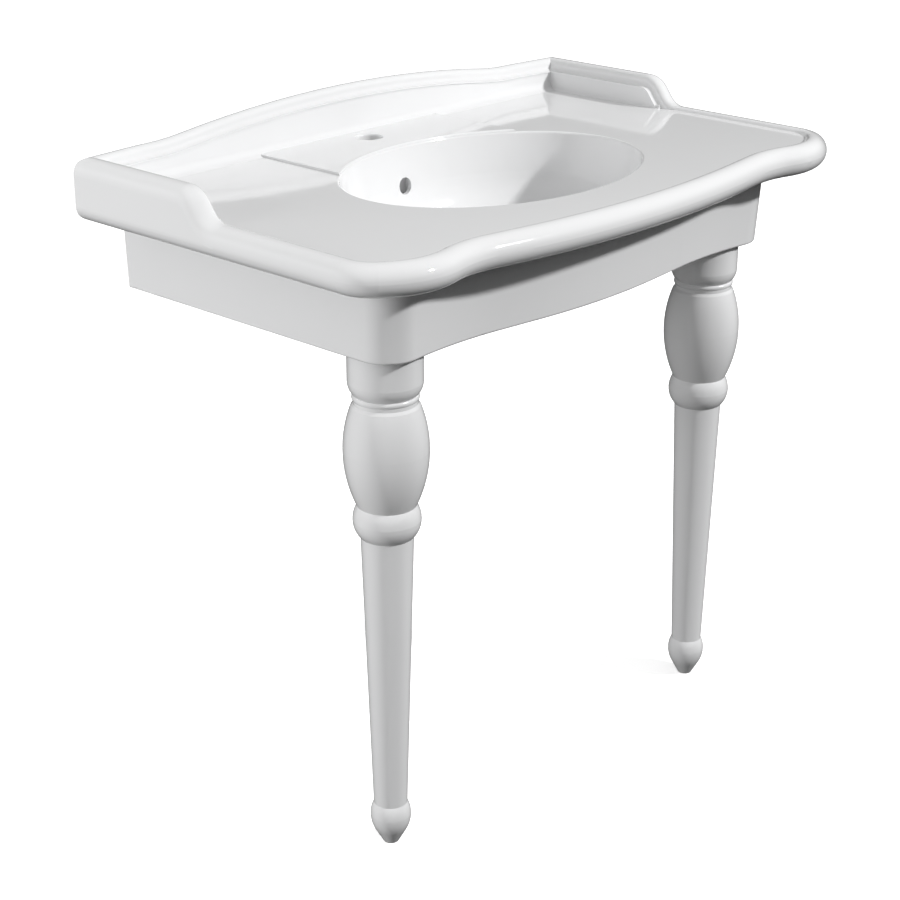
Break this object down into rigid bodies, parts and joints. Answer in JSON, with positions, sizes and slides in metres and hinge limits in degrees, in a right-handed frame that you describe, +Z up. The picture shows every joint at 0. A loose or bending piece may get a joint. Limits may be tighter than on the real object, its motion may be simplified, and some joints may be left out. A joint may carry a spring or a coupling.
{
  "type": "console washbasin with two legs",
  "caption": "White ceramic console washbasin: oval bowl, serpentine rolled rim, moulded splashback with low side upstands, deep apron and two turned ceramic legs; fixes to a wall",
  "frame": {"origin": "on the floor, in the middle of the width and of the depth of the whole piece", "axes": "+X to the right of someone who stands at the basin, +Y to the wall behind it, +Z up"},
  "size_m": [0.914, 0.561, 0.886],
  "materials": {
    "basin": "glossy white glaze",
    "leg": "glossy white glaze",
    "leg_gasket": "soft white ring",
    "leg_insert": "machined",
    "leg_stud": "zinc plated thread",
    "leg_cushion": "matt",
    "leg_washer": "zinc plated",
    "leg_nut": "zinc plated",
    "waste_body": "polished",
    "waste_flange_gasket": "matt",
    "waste_lower_gasket": "matt",
    "waste_slip_washer": "matt",
    "waste_backnut": "as cast",
    "plug_cartridge": "machined",
    "plug": "polished",
    "plug_seal": "matt"
  },
  "bodies": {
    "console": {"basin": "basin", "leg_left": "leg", "leg_right": "leg", "leg_gasket_left": "leg_gasket", "leg_gasket_right": "leg_gasket", "leg_insert_left": "leg_insert", "leg_insert_right": "leg_insert", "leg_stud_left": "leg_stud", "leg_stud_right": "leg_stud", "leg_cushion_left": "leg_cushion", "leg_cushion_right": "leg_cushion", "leg_washer_left": "leg_washer", "leg_washer_right": "leg_washer", "leg_nut_left": "leg_nut", "leg_nut_right": "leg_nut", "waste_body": "waste_body", "waste_flange_gasket": "waste_flange_gasket", "waste_lower_gasket": "waste_lower_gasket", "waste_slip_washer": "waste_slip_washer", "waste_backnut": "waste_backnut", "plug_cartridge": "plug_cartridge"},
    "plug": {"plug": "plug", "plug_seal": "plug_seal"}
  },
  "joints": [
    {"name": "plug_slide", "type": "slide", "parent": "console", "child": "plug", "axis": [0, 0, 1], "range_m": [0, 0.009]}
  ]
}
